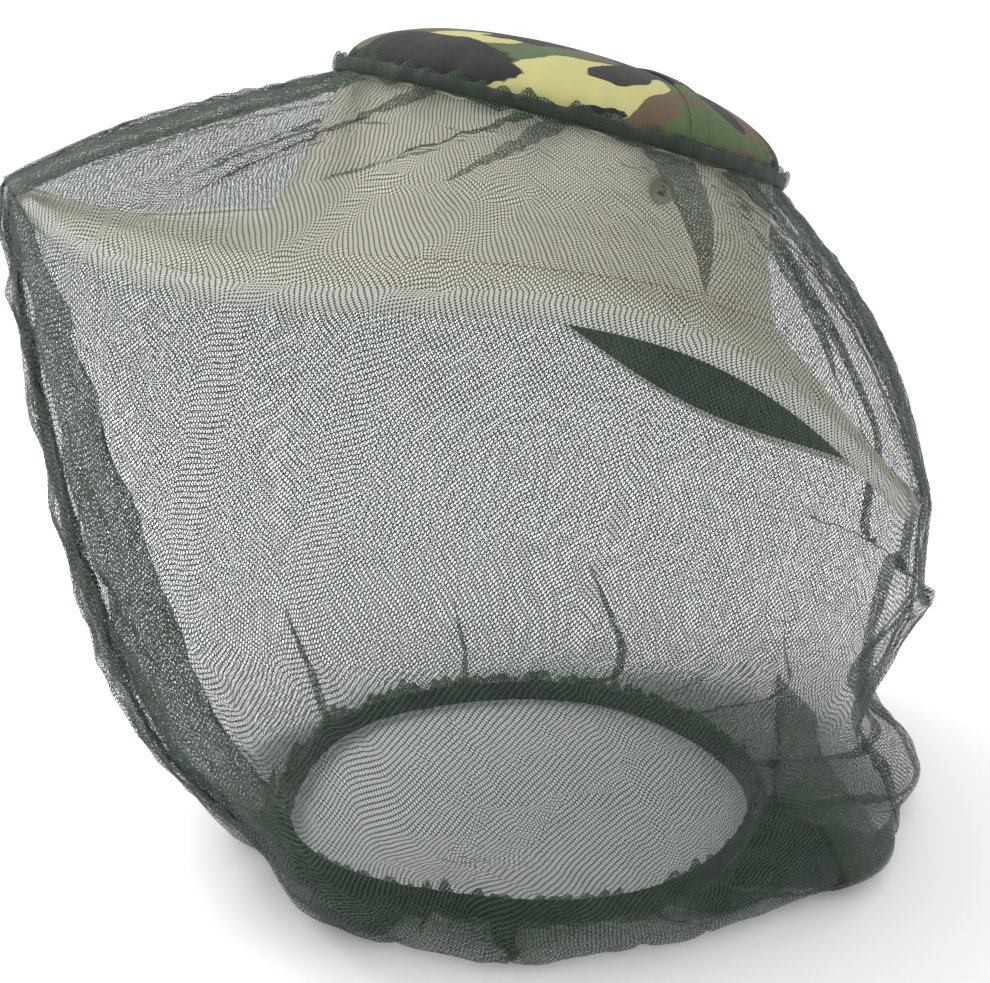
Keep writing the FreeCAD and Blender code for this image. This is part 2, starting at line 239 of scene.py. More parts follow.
class Finish:
    """One material, with its shader's uniform values set by name."""

    def __init__(self, name, **uniform):
        self.material = bpy.data.materials.new(name)
        self.material.use_nodes = True
        self.tree = self.material.node_tree
        self.shader = self.tree.nodes["Principled BSDF"]
        for key, value in uniform.items():
            self.shader.inputs[key.replace("_", " ")].default_value = value

    def node(self, kind, settings=None, inputs=None, output=0):
        made = self.tree.nodes.new(kind)
        for key, value in (settings or {}).items():
            if key == "stops":
                ramp = made.color_ramp.elements
                for at, colour in value[2:]:
                    ramp.new(at)
                for element, (at, colour) in zip(ramp, value):
                    element.position = at
                    element.color = (*colour, 1)
            else:
                setattr(made, key, value)
        for key, value in (inputs or {}).items():
            self.feed(made.inputs[key], value)
        return Value(self, made.outputs[output])

    def feed(self, socket, value):
        if isinstance(value, Value):
            self.tree.links.new(value.socket, socket)
        elif isinstance(value, tuple) and len(value) == 3 and socket.type == "RGBA":
            socket.default_value = (*value, 1)
        else:
            socket.default_value = value

    def math(self, operation, *values, clamp=False):
        settings = {"operation": operation, "use_clamp": clamp}
        return self.node("ShaderNodeMath", settings, dict(enumerate(values)))

    def blend(self, share, a, b, how="MIX"):
        """Colour a where share is 0, b where it is 1."""
        settings = {"data_type": "RGBA", "blend_type": how}
        return self.node("ShaderNodeMix", settings, {0: share, 6: a, 7: b}, 2)

    def step(self, value, low, high, start=0.0, end=1.0):
        """From start to end as value goes from low to high, smoothly."""
        return self.node("ShaderNodeMapRange", {"interpolation_type": "SMOOTHSTEP"},
                         {0: value, 1: low, 2: high, 3: start, 4: end})

    def place(self):
        return self.node("ShaderNodeTexCoord", output=3)

    def noise(self, scale, detail=2.0, where=None, roughness=0.5, distortion=0.0, seed=0.0):
        where = where or self.place()
        return self.node("ShaderNodeTexNoise", {"noise_dimensions": "4D"},
                         {"Vector": where, "W": seed, "Scale": scale, "Detail": detail,
                          "Roughness": roughness, "Distortion": distortion})

    def split(self, where):
        apart = self.node("ShaderNodeSeparateXYZ", inputs={0: where})
        return [Value(self, output) for output in apart.socket.node.outputs]

    def bump(self, height, strength, distance):
        inputs = {"Strength": strength, "Distance": distance, "Height": height}
        return self.node("ShaderNodeBump", inputs=inputs)

    def wear(self, **channels):
        """Feeds what changes over the surface to the shader."""
        for key, value in channels.items():
            self.feed(self.shader.inputs[key.replace("_", " ")], value)
        return self.material


NET_WIDTH = 1.700                    # the net's cut, round the head
HOLE_ACROSS = NET_WIDTH / 756        # from one hole of the mesh to the next in its row
HOLE_ALONG = 0.0024                  # and to the next hole below it


def net_finish(name, thread, colour, pale):
    """Knitted net: six-sided holes in fine thread. thread is its width as a share of the pitch.
    The piece's "gather" value, 0 to 1, closes the holes beside the elastics."""
    finish = Finish(name, Roughness=0.6, Sheen_Weight=0.08, Sheen_Roughness=0.4)
    across, along, _ = finish.split(finish.node("ShaderNodeTexCoord", output=2))
    half_row = math.sqrt(3) / 2
    across, along = across * (2 * half_row / HOLE_ACROSS), along / HOLE_ALONG
    cells = []
    for shift in (0.0, 1.0):
        x = abs(finish.math("WRAP", along + 0.5 * shift, 0.5, -0.5))
        y = abs(finish.math("WRAP", across + half_row * shift, half_row, -half_row))
        cells.append(finish.math("MAXIMUM", x, x * 0.5 + y * half_row))
    from_middle = finish.math("MINIMUM", *cells)
    gather = finish.node("ShaderNodeAttribute", {"attribute_name": "gather"}, output=2)
    edge = 0.5 - thread / 2 - gather * 0.2
    cover = finish.step(from_middle, edge - 0.02, edge + 0.02)
    tone = finish.noise(90, 3)
    colour = finish.blend(finish.step(tone, 0.35, 0.7), colour, pale)
    round_thread = finish.step(from_middle, edge, 0.5)
    return finish.wear(Base_Color=colour, Alpha=cover, Normal=finish.bump(round_thread, 0.5, 0.0003))


def cloth_finish(name, colour, shade, grain=0.0004, relief=0.00012, roughness=0.85, sheen=0.15, browning=None):
    """Plain-woven cotton with a fine weave, slightly uneven in tone."""
    finish = Finish(name, Sheen_Weight=sheen, Sheen_Roughness=0.5)
    place = finish.place()
    x, y, z = finish.split(place)
    pitch = math.pi / grain
    warp = finish.math("SINE", (x + z * 0.6) * pitch)
    weft = finish.math("SINE", (y - z * 0.6) * pitch)
    slub = finish.noise(700, 2, place)
    weave = warp * weft * 0.5 + 0.5
    broad = finish.noise(14, 4, place, 0.6)
    mottle = finish.noise(160, 3, place)
    tone = finish.step(broad * 0.65 + mottle * 0.35, 0.3, 0.7)
    mixed = finish.blend(tone, shade, colour)
    if browning:
        mixed = browning(finish, mixed, place)
    mixed = finish.blend(weave * 0.12 + slub * 0.1, mixed, shade)
    dents = finish.noise(30, 3, place)
    height = weave * 0.5 + slub * 0.5 + dents * 6
    rough = finish.step(mottle, 0.2, 0.8, roughness - 0.06, roughness + 0.06)
    return finish.wear(Base_Color=mixed, Roughness=rough, Normal=finish.bump(height, 0.6, relief))


# The print's patches over its green ground, as (seed, size, share that stays bare, colour).
PRINT_GREEN = (0.055, 0.090, 0.030)
PRINT_PATCHES = ((3.1, 15, 0.49, (0.090, 0.062, 0.034)), (8.7, 17, 0.56, (0.40, 0.385, 0.15)),
                 (5.2, 19, 0.565, (0.006, 0.007, 0.006)))


def camouflage_finish(name):
    """Woodland print on cotton: four flat colours in cloud-like patches."""
    finish = Finish(name, Roughness=0.9, Sheen_Weight=0.02)
    place = finish.place()
    long_way = finish.node("ShaderNodeMapping", inputs={"Vector": place, "Scale": (1.0, 0.72, 1.5)})
    ragged = finish.noise(95, 3, long_way, 0.6)
    colour = PRINT_GREEN
    for seed, scale, edge, patch in PRINT_PATCHES:
        cloud = finish.noise(scale, 1.5, long_way, 0.5, 0.6, seed) + ragged * 0.06
        colour = finish.blend(finish.step(cloud, edge + 0.028, edge + 0.033), colour, patch)
    x, y, z = finish.split(place)
    pitch = math.pi / 0.0005
    weave = finish.math("SINE", (x + z) * pitch) * finish.math("SINE", (y - z) * pitch) * 0.5 + 0.5
    faded = finish.noise(60, 4, place)
    colour = finish.blend(finish.step(faded, 0.35, 0.75, 0.0, 0.035), colour, (0.30, 0.30, 0.24))
    colour = finish.blend(weave * 0.15, colour, (0.03, 0.03, 0.025))
    height = weave * 0.5 + finish.noise(40, 3, place) * 5
    return finish.wear(Base_Color=colour, Normal=finish.bump(height, 0.6, 0.00014))


def elastic_finish(name, colour, pale):
    """Ribbed elastic webbing: fine ribs round the band."""
    finish = Finish(name, Sheen_Weight=0.1)
    place = finish.place()
    x, y, z = finish.split(place)
    ribs = finish.math("SINE", z * (2 * math.pi / 0.0011))
    cross = finish.math("SINE", finish.math("ARCTAN2", y - HEM_BACK, x) * 520)
    weave = ribs * cross * 0.5 + 0.5
    colour = finish.blend(weave * 0.5 + finish.noise(300, 2, place) * 0.3, colour, pale)
    return finish.wear(Base_Color=colour, Roughness=finish.step(weave, 0, 1, 0.75, 0.55),
                       Normal=finish.bump(weave, 0.7, 0.0003))


def leather_finish(name):
    finish = Finish(name, Specular_IOR_Level=0.4)
    place = finish.place()
    pores = finish.node("ShaderNodeTexVoronoi", {"feature": "F1"}, {"Vector": place, "Scale": 900.0})
    tone = finish.noise(35, 4, place)
    colour = finish.blend(finish.step(tone, 0.3, 0.7), (0.10, 0.055, 0.03), (0.17, 0.10, 0.055))
    return finish.wear(Base_Color=colour, Roughness=finish.step(tone, 0.3, 0.7, 0.42, 0.6),
                       Normal=finish.bump(pores, 0.35, 0.0002))


def metal_finish(name):
    finish = Finish(name, Metallic=1.0)
    place = finish.place()
    tone = finish.noise(240, 4, place)
    colour = finish.blend(tone, (0.30, 0.27, 0.20), (0.50, 0.46, 0.36))
    return finish.wear(Base_Color=colour, Roughness=finish.step(tone, 0.3, 0.7, 0.28, 0.5),
                       Normal=finish.bump(finish.noise(900, 2, place), 0.2, 0.0001))


def thread_finish(name, colour, shade):
    finish = Finish(name, Roughness=0.6, Sheen_Weight=0.2)
    place = finish.place()
    twist = finish.node("ShaderNodeTexWave", {"bands_direction": "DIAGONAL"},
                        {"Vector": place, "Scale": 900.0, "Distortion": 1.0})
    colour = finish.blend(twist, shade, colour)
    return finish.wear(Base_Color=colour, Normal=finish.bump(twist, 0.5, 0.0002))


def brown_patches(finish, colour, place):
    """Tan cloth browns slightly in broad random patches."""
    patch = finish.step(finish.noise(7, 2, place, seed=2.0), 0.5, 0.75)
    return finish.blend(patch * 0.45, colour, (0.46, 0.35, 0.22))


NET_COLOUR = (0.008, 0.026, 0.012)
NET_PALE = (0.017, 0.041, 0.022)
net_cloth = net_finish("green_net", 0.265, NET_COLOUR, NET_PALE)
gathered_cloth = net_finish("gathered_green_net", 0.30, NET_COLOUR, NET_PALE)
tan_cloth = cloth_finish("tan_cotton", (0.87, 0.83, 0.73), (0.79, 0.74, 0.62), browning=brown_patches)
core_cloth = cloth_finish("hat_core", (0.50, 0.46, 0.38), (0.40, 0.36, 0.29), 0.0011)
lining_cloth = cloth_finish("green_lining", (0.006, 0.029, 0.015), (0.004, 0.018, 0.010), 0.0005)
welt_cloth = cloth_finish("pale_welt", (0.86, 0.85, 0.80), (0.78, 0.76, 0.70), 0.0005)
camouflage = camouflage_finish("camouflage_cloth")
black_elastic = elastic_finish("black_elastic", (0.007, 0.008, 0.008), (0.03, 0.032, 0.031))
leather = leather_finish("sweatband_leather")
vent_metal = metal_finish("vent_metal")
orange_thread = thread_finish("orange_thread", (0.55, 0.26, 0.08), (0.38, 0.16, 0.05))
cream_thread = thread_finish("cream_thread", (0.72, 0.66, 0.52), (0.52, 0.46, 0.34))
green_thread = thread_finish("green_thread", (0.05, 0.10, 0.06), (0.02, 0.05, 0.03))


def paint(piece, material):
    piece.data.materials.clear()
    piece.data.materials.append(material)
    return piece


for name, material in (
    ("crown_cover", tan_cloth), ("crown_core", core_cloth), ("crown_band", tan_cloth),
    ("brim_cover", tan_cloth), ("brim_core", core_cloth), ("brim_lining", lining_cloth),
    ("brim_welt", welt_cloth), ("sweatband", leather),
    ("vent_eyelet_left", vent_metal), ("vent_eyelet_right", vent_metal),
    ("vent_washer_left", vent_metal), ("vent_washer_right", vent_metal),
):
    for place in nodes[name].material_slots:
        place.material = material

# ---- net ---------------------------------------------------------------------------------------
GUIDE_STEPS = 1440
COLUMNS = 480
NET_OUTSET = 0.0080                  # from the middle of the welt to the net
VEIL_TRAVEL = 0.025                  # how far the net lifts past the brim, so it hangs straight there
ROW_STEP = 0.0050
LAYER_GAP = 0.0024                   # between the layers of a fold
UPPER_TAPER = 0.27                   # how much narrower the knit is drawn at the crown casing
FOLD_EDGE = 0.003                    # half the width over which a fold's edge is rounded
LEAST_FOLD = 2e-4                    # smaller folds are left out

guide_angle = np.linspace(0, 2 * math.pi, GUIDE_STEPS, endpoint=False)


def hem_wobble(angle):
    """The elastic pulls the hem into a slightly uneven ring."""
    return 0.0042 * ripple(61, 5, angle, 2, 6)


# The rings that the lower net passes through: half length, half width, how much both sway and which
# of the ripples they sway with, share of the tuck, distance back, height above the floor, and how much
# and with which ripple the height sways.
LOWER_RINGS = (
    (0.2125, 0.1873, 0.002, 0, 0.3, 0.004, 0.1180, 0.000, 0),
    (0.2015, 0.1853, 0.004, 1, 1.0, 0.008, 0.0830, 0.000, 0),
    (0.1945, 0.1770, 0.006, 2, 0.0, 0.021, 0.0460, 0.005, 4),
    (0.1865, 0.1675, 0.008, 3, 0.0, 0.034, 0.0140, 0.004, 5),
    (0.1720, 0.1540, 0.008, 3, 0.0, 0.032, 0.0035, 0.000, 0),
    (0.1500, 0.1400, 0.004, 4, 0.0, 0.016, 0.0030, 0.000, 0),
)
SWAY_SEEDS = (41, 42, 43, 44, 45, 46)
TUCK = 0.020                         # how far the wall of net is drawn in behind the left shoulder
TUCK_ANGLE, TUCK_SPREAD = math.radians(56), math.radians(24)
UPPER_SHARES = (0.0, 0.3, 0.6, 0.88)  # where the upper net's rings lie, from casing to brim


def net_guides():
    """Curves that the net passes through from the crown casing to the hem, and which one is the rim."""
    a = guide_angle
    foot = casing_curve(a, 0.0014, -0.0005)
    edge = brim_curve(a, 1.0, 0.0032, NET_OUTSET - 0.0012)
    side = brim_curve(a, 1.0, -0.0035, NET_OUTSET)
    drop = side - np.array([0, 0, VEIL_TRAVEL + 0.0045])
    swell = 0.010 + 0.002 * np.sin(a)
    bow = np.stack([np.cos(a), np.sin(a), 0.6 + 0 * a], -1) * swell[:, None]
    upper = [foot + (edge - foot) * share + bow * math.sin(math.pi * share) for share in UPPER_SHARES]
    sways = [ripple(seed, 6, a, 3, 11) for seed in SWAY_SEEDS]
    tuck = TUCK * np.exp(-((a - TUCK_ANGLE) / TUCK_SPREAD) ** 2)
    lower = []
    for half_length, half_width, swing, wave, tucked, back, height, lift, lift_wave in LOWER_RINGS:
        sway, draw = swing * sways[wave], tucked * tuck
        lower.append(level_curve(a, half_length + sway - draw, half_width + sway - draw, back,
                                 height + lift * sways[lift_wave]))
    hem = HEM_HALF + 0.0075 + hem_wobble(a)
    return upper + [edge, side, drop] + lower + [level_curve(a, hem, hem, HEM_BACK, 0.0065)], len(upper)


def spline_rows(guides, rim):
    """Rows of points between the guides, on a smooth curve down each angle.
    Returns the rows and each row's place: -1 at the casing, 0 at the rim, 1 at the hem."""
    guides = np.array(guides)
    steps = np.linalg.norm(np.diff(guides, axis=0), axis=2).mean(1)
    at = np.concatenate([[0], np.cumsum(steps)])
    slope = np.gradient(guides, at, axis=0)
    rows, where = [], []
    for i in range(len(guides) - 1):
        span = at[i + 1] - at[i]
        count = max(2, round(span / ROW_STEP))
        for t in np.arange(count) / count:
            h00, h10 = 2 * t**3 - 3 * t**2 + 1, t**3 - 2 * t**2 + t
            h01, h11 = 3 * t**2 - 2 * t**3, t**3 - t**2
            rows.append(h00 * guides[i] + h10 * span * slope[i]
                        + h01 * guides[i + 1] + h11 * span * slope[i + 1])
            down = at[i] + span * t
            below_rim = (down - at[rim]) / (at[-1] - at[rim])
            where.append(down / at[rim] - 1 if down < at[rim] else below_rim)
    rows.append(guides[-1])
    where.append(1.0)
    return np.array(rows), np.array(where)


# Folds that cross the rim at the brim's front and back tips: angle there, share of the slack, and the
# side that they turn to. Above and below the rim each has its angle and share at the elastic.
TIP_FOLDS = ((-84, 2.0, -1), (-95, 1.6, 1), (-106, 1.4, -1), (50, 1.3, -1), (60, 1.2, 1), (70, 1.2, -1))
UPPER_ENDS = ((-76, 1.5), (-100, 1.4), (-124, 1.4), (31, 2.0), (54, 1.1), (80, 1.3))
LOWER_ENDS = ((-54, 10.5), (-73, 9.0), (-92, 7.0), (46, 3.2), (64, 2.4), (84, 2.2))
# Folds that start at an elastic and run out before the rim: angle where they run out, angle and share
# at the elastic, side, and where they run out: 0 at the rim, 1 at the elastic.
UPPER_FOLDS = ((-58, -50, 0.9, 1, 0.05), (-45, -26, 0.8, 1, 0.38), (-29, -19, 1.0, -1, 0.46),
               (3, 8, 2.0, 1, 0.13), (97, 104, 1.3, -1, 0.1), (122, 132, 1.2, 1, 0.15),
               (158, 163, 1.4, -1, 0.1), (-158, -165, 1.2, 1, 0.1), (-134, -145, 1.3, -1, 0.05))
LOWER_FOLDS = ((-30, -22, 3.0, 1, 0.76), (14, 44, 15, -1, 0.37), (2, 8, 1.4, -1, 0.80),
               (27, 18, 6.0, 1, 0.68), (104, 118, 1.5, 1, 0.45), (150, 150, 3.0, -1, 0.58),
               (178, -172, 2.6, 1, 0.66), (-150, -140, 3.0, -1, 0.55), (-44, -38, 1.2, -1, 0.82),
               (128, 134, 1.2, 1, 0.7))


def folds_of(ends, others):
    """Each fold as (angles, shares of the slack, side, where it starts), at its start and its end."""
    crossing = [(tip[0], end[0], tip[1], end[1], tip[2], 0.0) for tip, end in zip(TIP_FOLDS, ends)]
    return crossing + [(first, last, 0, share, side, start) for first, last, share, side, start in others]


def softened(value):
    """A ramp from 0 to 1 across -0.5 to 0.5."""
    return np.clip(value + 0.5, 0, 1)


def fold_places(where, spare, length_at):
    """The middle, size and side of each fold in a row. A fold's middle is a place on the cloth, and
    it lies at the fold's own angle once the cloth before it is folded."""
    folds = folds_of(UPPER_ENDS, UPPER_FOLDS) if where < 0 else folds_of(LOWER_ENDS, LOWER_FOLDS)
    places = []
    for first_angle, end_angle, first_share, end_share, side, start in folds:
        grown = max(0.0, (abs(where) - start) / (1 - start))
        turn = grown ** 0.33 if where > 0 and start == 0 else grown
        angle = first_angle + ((end_angle - first_angle + 180) % 360 - 180) * turn
        share = first_share + (end_share - first_share) * grown ** 0.8
        places.append((length_at(math.radians(angle)), share, side))
    places.sort()
    whole = sum(share for _, share, _ in places)
    taken = 0.0
    for round_it, share, side in places:
        size = spare * share / whole
        yield round_it + size + 2 * taken, size, side
        taken += size


def folded(cloth, folds):
    """How far round a row each point of the cloth lies, and how deep in its folds."""
    round_it = cloth.copy()
    depth = np.zeros_like(cloth)
    offsets = np.linspace(-FOLD_EDGE, FOLD_EDGE, 7)
    for middle, size, side in folds:
        if size < LEAST_FOLD:
            continue
        start = middle - NET_WIDTH / 2
        turned = np.floor((cloth - start) / NET_WIDTH)
        away = cloth - start - turned * NET_WIDTH - NET_WIDTH / 2
        for offset in offsets:
            round_it = round_it - 2 * size * (softened((away + offset) / size) + turned) / len(offsets)
            near = side * away + offset
            layer = softened((near + size / 2) / 0.004) + softened((near - size / 2) / 0.004)
            layer = layer * (1 - softened((near - 1.7 * size) / (1.2 * size)))
            depth = depth + layer / len(offsets)
    return round_it, depth


def rise(place):
    """The layers lie closer together over the rim and at the elastics."""
    return 0.2 + 0.8 * math.sin(math.pi * abs(place)) ** 1.2


def build_net():
    """The folded net's rows of points, each row's place, and each column's place on the cloth."""
    guides, rim = net_guides()
    rows, where = spline_rows(guides, rim)
    wall = where < 0.8
    rows[wall, :, 2] = np.minimum.accumulate(rows[wall, :, 2], axis=0)
    rows[..., 2] = np.maximum(rows[..., 2], floor_level + 0.002)
    normal = normals_of(rows)
    rim_length = lengths_round(rows[int(np.argmin(abs(where)))])
    turns = np.append(guide_angle, 2 * math.pi)
    cloth = np.arange(COLUMNS) * NET_WIDTH / COLUMNS
    even = np.interp(cloth / NET_WIDTH * rim_length[-1], rim_length, turns)
    points = []
    for row, place in enumerate(where):
        length = lengths_round(rows[row])
        whole = length[-1]
        drawn_in = 1 - UPPER_TAPER * max(0.0, -place)
        spare = max(0.0, (NET_WIDTH * drawn_in - whole) / 2) / drawn_in
        laid = NET_WIDTH - 2 * spare

        def length_at(angle):
            return np.interp(angle % (2 * math.pi), turns, length) / whole * laid

        folds = list(fold_places(place, spare, length_at))
        wanted = np.interp(even, turns, length) / whole * laid
        shift = 0.0
        for _ in range(4):
            along, depth = folded(cloth + shift, folds)
            shift += np.mean((wanted - along + laid / 2) % laid - laid / 2)
        angle = np.interp(along % laid, length / whole * laid, turns)
        at = angle / (2 * math.pi) * GUIDE_STEPS
        low = np.floor(at).astype(int) % GUIDE_STEPS
        high = (low + 1) % GUIDE_STEPS
        part = (at - np.floor(at))[:, None]
        point = rows[row][low] * (1 - part) + rows[row][high] * part
        out = normal[row][low] * (1 - part) + normal[row][high] * part
        points.append(point - out * (depth * LAYER_GAP * rise(place))[:, None])
    points = np.array(points)
    pull = 0.0016 * np.clip((where - 0.80) / 0.20, 0, 1)
    pull = pull + 0.0010 * np.clip((-where - 0.82) / 0.18, 0, 1)
    pucker = ripple(71, 14, cloth / NET_WIDTH * 2 * math.pi, 40, 75)
    points[..., 2] += pull[:, None] * (0.9 + pucker[None, :])
    return points, where, cloth


def hat_form():
    """The outside of crown and brim as one surface, for the net to lie against."""
    a = np.linspace(0, 2 * math.pi, 128, endpoint=False)
    rings = [crown_curve(a, share, 0.0012) for share in (1.0, 0.8, 0.5, 0.2)]
    rings += [brim_curve(a, share, 0.0) for share in (0.0, 0.25, 0.5, 0.75, 0.97)]
    for turn in range(60, -121, -30):
        t = math.radians(turn)
        rings.append(brim_curve(a, 1.0, 0.0045 * math.sin(t) - 0.0034, 0.0045 * math.cos(t)))
    rings += [brim_curve(a, share, -0.0066) for share in (0.9, 0.5)]
    return grid_piece("hat_form", np.stack(rings))


def floor_form():
    corners = [(x, y, floor_level) for x, y in ((-1, -1), (1, -1), (1, 1), (-1, 1))]
    return mesh_piece("floor_form", corners, [(0, 1, 2, 3)])


def drape(piece, held, forms, frames, slack):
    """Lets the cloth settle under its own weight over the forms. held gives how firmly groups of its
    points keep their place, from 0 to 1."""
    for form in forms:
        form.modifiers.new("hard", "COLLISION")
        form.collision.thickness_outer = 0.0012
        form.collision.cloth_friction = 12
        form.collision.damping = 0.6
    group = piece.vertex_groups.new(name="held")
    for points, firmness in held:
        group.add(points, firmness, "REPLACE")
    cloth = piece.modifiers.new("cloth", "CLOTH")
    settings = cloth.settings
    settings.vertex_group_mass = "held"
    settings.quality = 7
    settings.mass = 0.03
    settings.air_damping = 1.5
    settings.tension_stiffness = 12
    settings.compression_stiffness = 6
    settings.shear_stiffness = 2
    settings.bending_stiffness = 0.02
    settings.tension_damping = settings.compression_damping = settings.shear_damping = 4
    settings.bending_damping = 0.4
    settings.shrink_min = -slack
    cloth.collision_settings.distance_min = 0.0015
    cloth.collision_settings.collision_quality = 2
    cloth.point_cache.frame_start = 1
    cloth.point_cache.frame_end = frames
    scene = bpy.context.scene
    for frame_number in range(1, frames + 1):
        scene.frame_set(frame_number)
    shaped = bpy.data.meshes.new_from_object(piece.evaluated_get(bpy.context.evaluated_depsgraph_get()))
    piece.modifiers.remove(cloth)
    piece.data = shaped
    piece.vertex_groups.clear()
    scene.frame_set(1)
    for form in forms:
        bpy.data.objects.remove(form)


net_grid, net_where, net_cloth_at = build_net()
net_across = np.append(net_cloth_at, NET_WIDTH)
net_down = steps_down(net_grid)
net = grid_piece("veil_net", net_grid, net_across, net_down)
paint(net, net_cloth)
held = []
for row, place in enumerate(net_where):
    firmness = 1.0 if abs(place) > 0.999 else 0.35 if place < -0.1 else 0.16
    held.append((list(range(row * COLUMNS, (row + 1) * COLUMNS)), firmness))
drape(net, held, [hat_form(), floor_form()], 22, 0.035)
settled = points_of(net, len(net_grid), COLUMNS)
settled[..., 2] = np.maximum(settled[..., 2], floor_level + 0.0006)
net.data.vertices.foreach_set("co", settled.astype(np.float32).ravel())
closeness = np.repeat(np.clip((abs(net_where) - 0.93) / 0.07, 0, 1) * 0.35, COLUMNS)
gather = net.data.attributes.new("gather", "FLOAT", "POINT")
gather.data.foreach_set("value", closeness.astype(np.float32))
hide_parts("upper_net", "face_net", "neck_net")
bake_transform(net)


# ---- casings and elastics ----------------------------------------------------------------------
GATHERED_SHARE = 1.6                 # metres of net gathered into a metre of casing, as its holes show it


def ruffled(name, curve, section, columns, swell, sway, seed, material):
    """Gathered net round an elastic. curve(angle, out, up) places a point of its section. swell is how
    unevenly thick it is, as a share, and sway how far it wanders up and down."""
    angle = np.linspace(0, 2 * math.pi, columns, endpoint=False)
    fine = ripple(seed, 14, angle, columns // 20, columns // 9)
    slow = ripple(seed + 1, 8, angle, 8, 40)
    rows = []
    middle_out = sum(out for out, _ in section) / len(section)
    middle_up = sum(up for _, up in section) / len(section)
    for i, (out, up) in enumerate(section):
        turn = 2 * math.pi * i / len(section)
        crumple = ripple(seed + 7 + i, 10, angle, columns // 14, columns // 7)
        grow = 1 + swell * (0.7 + 0.5 * math.sin(turn)) * (fine + 0.4 * crumple)
        side = sway * slow
        rows.append((middle_out + (out - middle_out) * grow + side * 0.4,
                     middle_up + (up - middle_up) * grow + side))
    grid = np.stack([curve(angle, out, up) for out, up in rows])
    steps = np.linalg.norm(np.roll(grid, -1, 1) - grid, axis=2).mean(0)
    across = np.concatenate([[0], np.cumsum(steps)]) * GATHERED_SHARE
    heights = np.linalg.norm(np.diff(grid, axis=0), axis=2).mean(1)
    along = np.concatenate([[0], np.cumsum(heights), [heights.sum() + heights.mean()]])
    piece = grid_piece(name, grid, across, along, closed_rows=True)
    return paint(piece, material)


def oval(half_out, half_up, out, up, count=14):
    """A casing's section, by its half sizes and its middle."""
    turns = 2 * math.pi * np.arange(count) / count
    return [(out + half_out * math.cos(t), up + half_up * math.sin(t)) for t in turns]


def hem_curve(angle, out, up):
    """Beside the neck elastic, out from it and up from the floor."""
    reach = HEM_HALF + out + hem_wobble(angle)
    up = np.maximum(up, 0.0004)
    x, y = reach * np.cos(angle), HEM_BACK + reach * np.sin(angle)
    return np.stack([x, y, floor_level + up + 0 * angle], -1)


hem_casing = ruffled("hem_casing_gathers", hem_curve, oval(0.0030, 0.0078, 0.0048, 0.0092),
                     columns=1000, swell=0.26, sway=0.0024, seed=11, material=gathered_cloth)
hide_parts("hem_casing")
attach(hem_casing, "hem")

crown_casing = ruffled("crown_casing_gathers", casing_curve, oval(0.0019, 0.0043, 0.0006, 0.0044),
                       columns=760, swell=0.30, sway=0.0010, seed=23, material=gathered_cloth)
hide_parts("crown_casing")
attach(crown_casing, "veil")


def flat_band(name, curve, out, up, width, thickness, columns, seed, material):
    """A flat elastic band on edge, slightly wavy, with rounded edges."""
    angle = np.linspace(0, 2 * math.pi, columns, endpoint=False)
    wave = 0.0003 * ripple(seed, 10, angle, 20, 90)
    half, radius = width / 2, thickness / 2
    section = []
    for i in range(12):
        turn = 2 * math.pi * (i + 0.5) / 12
        end = (half - radius) * math.copysign(1, math.sin(turn))
        section.append((radius * math.cos(turn), end + radius * math.sin(turn)))
    grid = np.stack([curve(angle, out + a + wave, up + b) for a, b in section])
    piece = grid_piece(name, grid, closed_rows=True)
    return paint(piece, material)


neck_elastic = flat_band("neck_elastic_band", hem_curve, out=0.0012, up=0.0076, width=0.012,
                         thickness=0.0018, columns=500, seed=31, material=black_elastic)
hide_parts("neck_elastic")
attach(neck_elastic, "hem")
crown_elastic = flat_band("crown_elastic_band", casing_curve, out=0.0006, up=0.0044, width=0.006,
                          thickness=0.0015, columns=400, seed=32, material=black_elastic)
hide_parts("crown_elastic")
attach(crown_elastic, "veil")

# ---- seams and stitching -----------------------------------------------------------------------
# A tape's section, by share of its half width and of its thickness, with a low middle line of stitches.
TAPE_SECTION = ((-1, 0), (-0.96, 1), (-0.5, 1.3), (0, 1.2), (0.5, 1.3), (0.96, 1), (1, 0))


def strip_on_net(name, rows, column, width, lift, material):
    """A flat tape that follows the net down one column of its cloth. Returns the tape, a line down its
    middle, and the directions across it and out of it."""
    cloth_grid = points_of(net, len(net_grid), COLUMNS)
    normal = normals_of(cloth_grid)
    middle, out = cloth_grid[rows, column], normal[rows, column]
    for _ in range(3):
        middle[1:-1] = (middle[:-2] + 2 * middle[1:-1] + middle[2:]) / 4
        out[1:-1] = (out[:-2] + 2 * out[1:-1] + out[2:]) / 4
    down = np.gradient(middle, axis=0)
    side = unit(np.cross(down, out))
    section = [(x * width / 2, lift * z) for x, z in TAPE_SECTION] + [(0, -0.0001)]
    grid = np.stack([middle + side * x + out * z for x, z in section], 1)
    steps = np.linalg.norm(np.diff(grid[0], axis=0), axis=1)
    across = np.concatenate([[0], np.cumsum(steps), [steps.sum() + steps[-1]]])
    along = steps_down(grid)[:, 0]
    tape = paint(grid_piece(name, grid, across, along), material)
    return tape, middle + out * lift * 1.5, side, out


